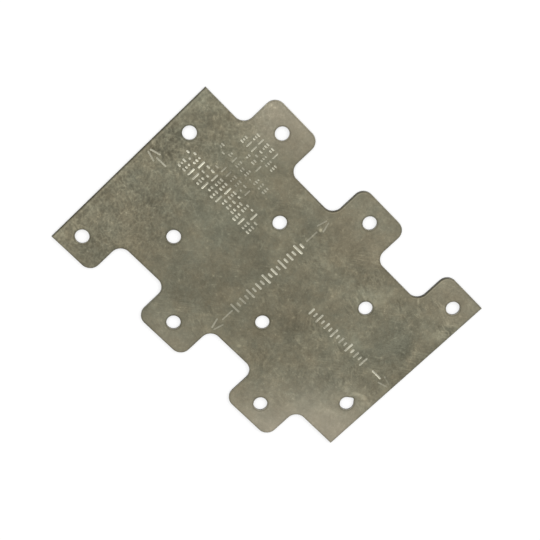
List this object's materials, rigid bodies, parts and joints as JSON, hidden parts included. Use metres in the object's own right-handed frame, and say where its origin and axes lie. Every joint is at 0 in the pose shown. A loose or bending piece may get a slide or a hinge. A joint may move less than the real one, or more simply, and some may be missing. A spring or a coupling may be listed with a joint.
{
  "type": "lateral tie plate",
  "caption": "Flat sheet-steel plate with rounded tabs along its long edges and staggered nail holes, nailed across a joint in timber framing to tie it against sideways load.",
  "frame": {"origin": "centre of the back face, on the plane that lies against the framing", "axes": "+X along the plate's length, +Y across it towards the edge that has a tab at its right-hand end, +Z out of the stamped face"},
  "size_m": [0.108, 0.0762, 0.001],
  "materials": {
    "galvanised_steel": "dull galvanised sheet with a fine mottle, bare steel on the sheared edges"
  },
  "bodies": {
    "root": {"tie_plate": "galvanised_steel"}
  },
  "joints": []
}
